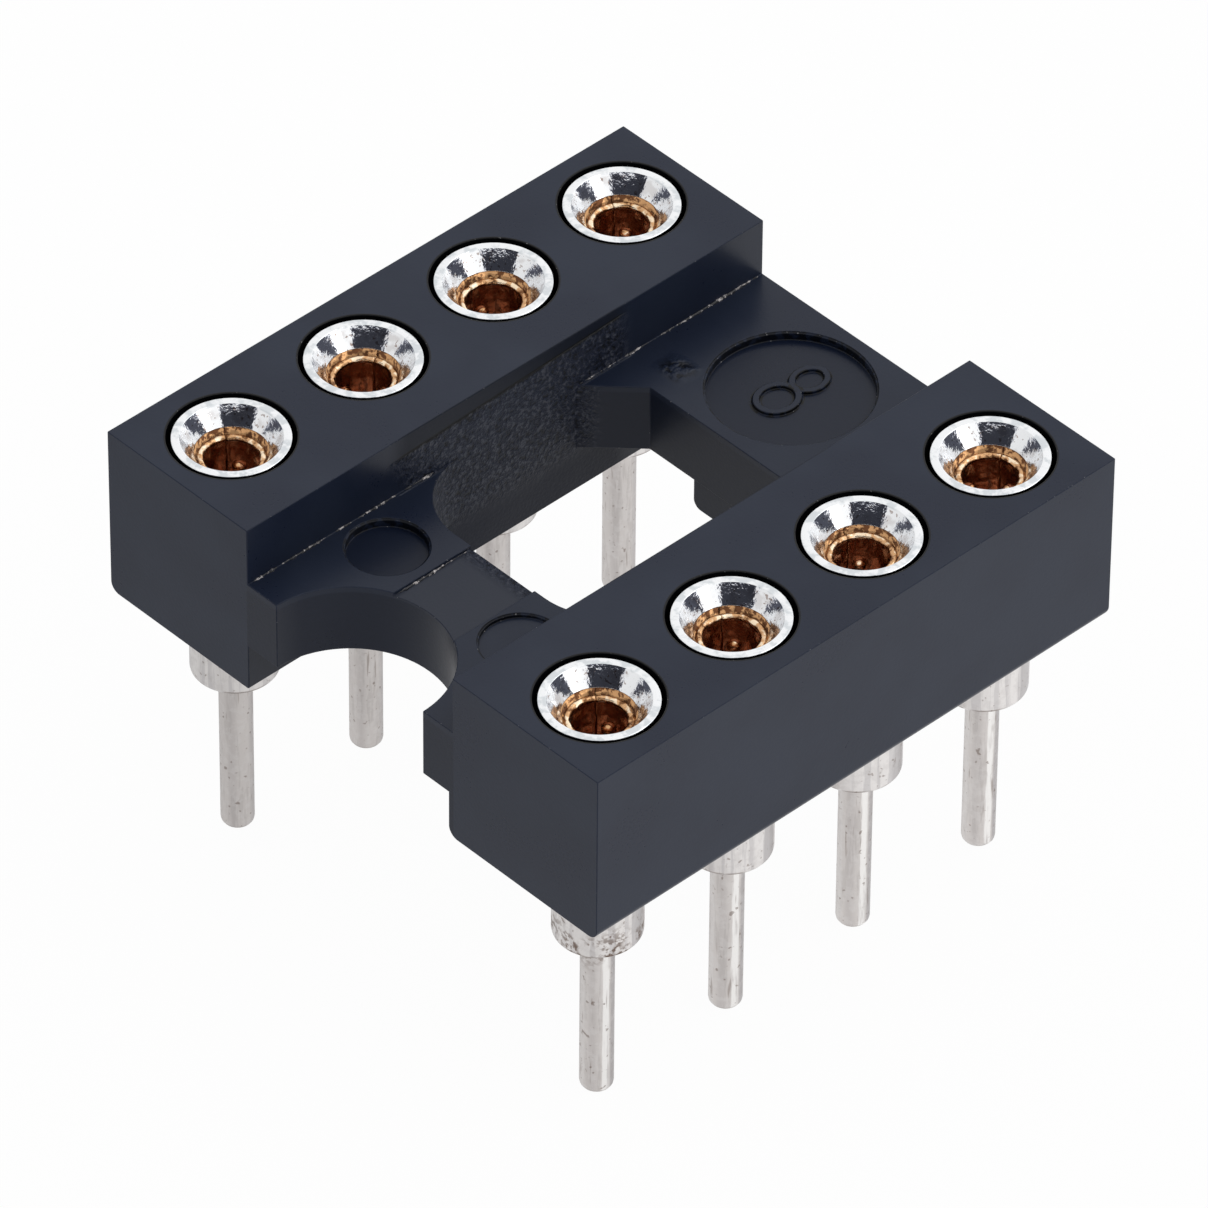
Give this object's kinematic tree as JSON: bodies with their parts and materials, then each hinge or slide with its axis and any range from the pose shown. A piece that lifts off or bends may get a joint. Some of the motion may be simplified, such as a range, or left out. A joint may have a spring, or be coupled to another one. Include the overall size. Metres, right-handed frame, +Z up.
{
  "type": "dual in-line ic socket",
  "caption": "Open-frame dual in-line IC socket: two moulded rails joined by low crossbars, with turned, funnel-mouthed contacts whose tails solder into a circuit board.",
  "frame": {"origin": "middle of the bounding box's bottom face, level with the tips of the solder tails", "axes": "+Z up, out of the lead entries; Y along the rails with the notched end at -Y; X across the rails, contact 1 at +X and -Y"},
  "size_m": [0.0102, 0.01, 0.0074],
  "materials": {
    "black_moulding": "glass-filled thermoplastic, semi-matt",
    "tinned_sleeve": "turned brass, tin plated",
    "gilded_clip": "spring alloy, gold plated"
  },
  "bodies": {
    "root": {"housing": "black_moulding", "contact_sleeve_1": "tinned_sleeve", "contact_sleeve_2": "tinned_sleeve", "contact_sleeve_3": "tinned_sleeve", "contact_sleeve_4": "tinned_sleeve", "contact_sleeve_5": "tinned_sleeve", "contact_sleeve_6": "tinned_sleeve", "contact_sleeve_7": "tinned_sleeve", "contact_sleeve_8": "tinned_sleeve", "contact_clip_1": "gilded_clip", "contact_clip_2": "gilded_clip", "contact_clip_3": "gilded_clip", "contact_clip_4": "gilded_clip", "contact_clip_5": "gilded_clip", "contact_clip_6": "gilded_clip", "contact_clip_7": "gilded_clip", "contact_clip_8": "gilded_clip"}
  },
  "joints": []
}
